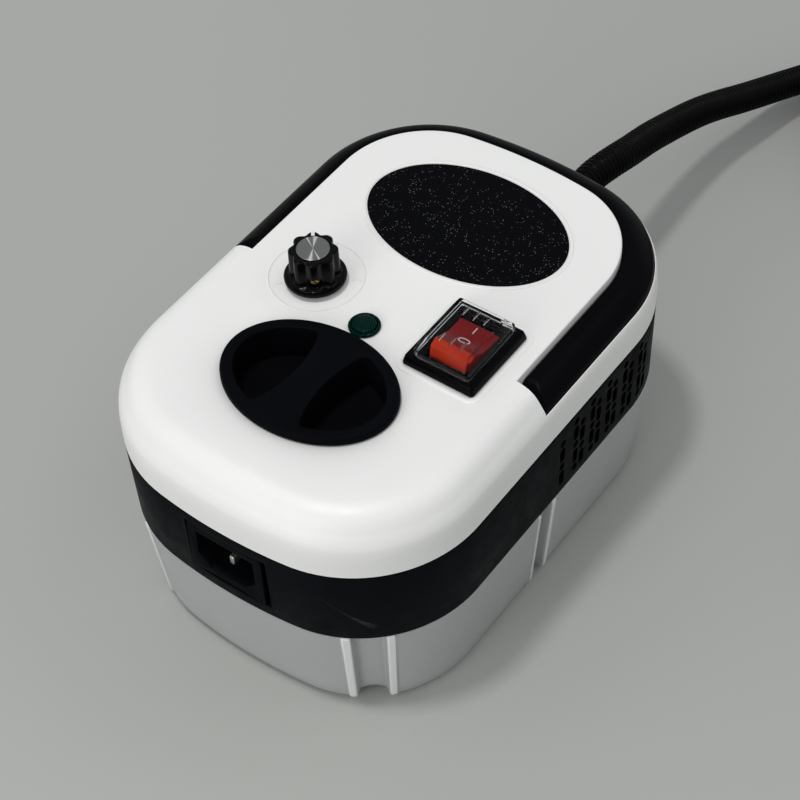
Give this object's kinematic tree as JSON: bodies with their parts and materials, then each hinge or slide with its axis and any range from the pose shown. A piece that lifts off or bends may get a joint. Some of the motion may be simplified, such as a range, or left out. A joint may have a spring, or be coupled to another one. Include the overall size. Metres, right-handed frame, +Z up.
{
  "type": "compact steam cleaner with hose and steam gun",
  "caption": "Compact steam cleaner: tank base, black band, white lid with filler cap, knob, rocker switch, fold-down handle and hose.",
  "frame": {"origin": "centre of the tank's flat base, on the surface that it stands on", "axes": "+X to the right side of the case, -Y the end with the mains inlet, +Y the end where the hose leaves, +Z up"},
  "size_m": [0.249, 0.4593, 0.1164],
  "materials": {
    "white_shell": "fine matte texture",
    "black_plastic": "satin",
    "black_gloss": "gloss",
    "frosted_plastic": "translucent, milky",
    "rubber": "matt",
    "silicone": "smooth",
    "label_film": "satin film",
    "aluminium": "brushed",
    "brass": "satin",
    "steel": "satin",
    "green_lens": "clear",
    "red_rocker": "gloss",
    "clear_plastic": "clear",
    "board": "matt",
    "wire_red": "satin"
  },
  "bodies": {
    "case": {"top_shell": "white_shell", "gun_body_upper": "white_shell", "gun_body_lower": "white_shell", "mid_shell": "black_plastic", "filler_neck": "black_plastic", "lamp_body": "black_plastic", "power_inlet": "black_plastic", "suction_strainer": "black_plastic", "hose_gland": "black_plastic", "gland_nut": "black_plastic", "hose_tie": "black_plastic", "gun_strain_relief": "black_plastic", "gun_nozzle_collar": "black_plastic", "switch_housing": "black_gloss", "water_tank": "frosted_plastic", "base_strip_front": "rubber", "base_strip_rear": "rubber", "pump_cradle": "rubber", "steam_hose": "rubber", "hose_coil": "rubber", "tank_seal": "silicone", "suction_tube": "silicone", "feed_tube": "silicone", "label_plate": "label_film", "boiler_block": "aluminium", "pump_barrel": "brass", "relief_valve": "brass", "steam_pipe": "brass", "gun_valve": "brass", "gun_nozzle": "brass", "handle_pivot_pin_left": "steel", "handle_pivot_pin_right": "steel", "potentiometer": "steel", "inlet_pin_left": "steel", "inlet_pin_earth": "steel", "inlet_pin_right": "steel", "pump_coil": "steel", "heater_element": "steel", "thermostat": "steel", "case_screw_1": "steel", "case_screw_2": "steel", "case_screw_3": "steel", "case_screw_4": "steel", "gun_trigger_pin": "steel", "gun_trigger_spring": "steel", "lamp_lens": "green_lens", "switch_cover": "clear_plastic", "control_board": "board", "live_lead": "wire_red", "heater_lead": "wire_red"},
    "handle": {"carry_handle": "black_plastic"},
    "cap": {"filler_cap": "black_plastic", "cap_gasket": "rubber"},
    "knob": {"control_knob": "black_plastic", "knob_insert": "aluminium", "knob_set_screw": "brass", "knob_shaft": "steel"},
    "rocker": {"switch_rocker": "red_rocker"},
    "trigger": {"gun_trigger": "black_plastic"}
  },
  "joints": [
    {"name": "handle_fold", "type": "hinge", "parent": "case", "child": "handle", "pos_m": [0, 0.0012, 0.091], "axis": [1, 0, 0], "range_deg": [0, 90]},
    {"name": "cap_lift", "type": "slide", "parent": "case", "child": "cap", "axis": [0, 0, 1], "range_m": [0, 0.03]},
    {"name": "knob_turn", "type": "hinge", "parent": "case", "child": "knob", "pos_m": [-0.0274, -0.0066, 0.101], "axis": [0, 0, 1], "range_deg": [-140, 140]},
    {"name": "rocker_tilt", "type": "hinge", "parent": "case", "child": "rocker", "pos_m": [0.0339, -0.0053, 0.1016], "axis": [1, 0, 0], "range_deg": [0, 28]},
    {"name": "trigger_pull", "type": "hinge", "parent": "case", "child": "trigger", "pos_m": [0.1513, 0.12874, 0.0143], "axis": [0, 0, -1], "range_deg": [0, 8], "stiffness_Nm_per_rad": 0.5, "springref_deg": -5.73}
  ]
}
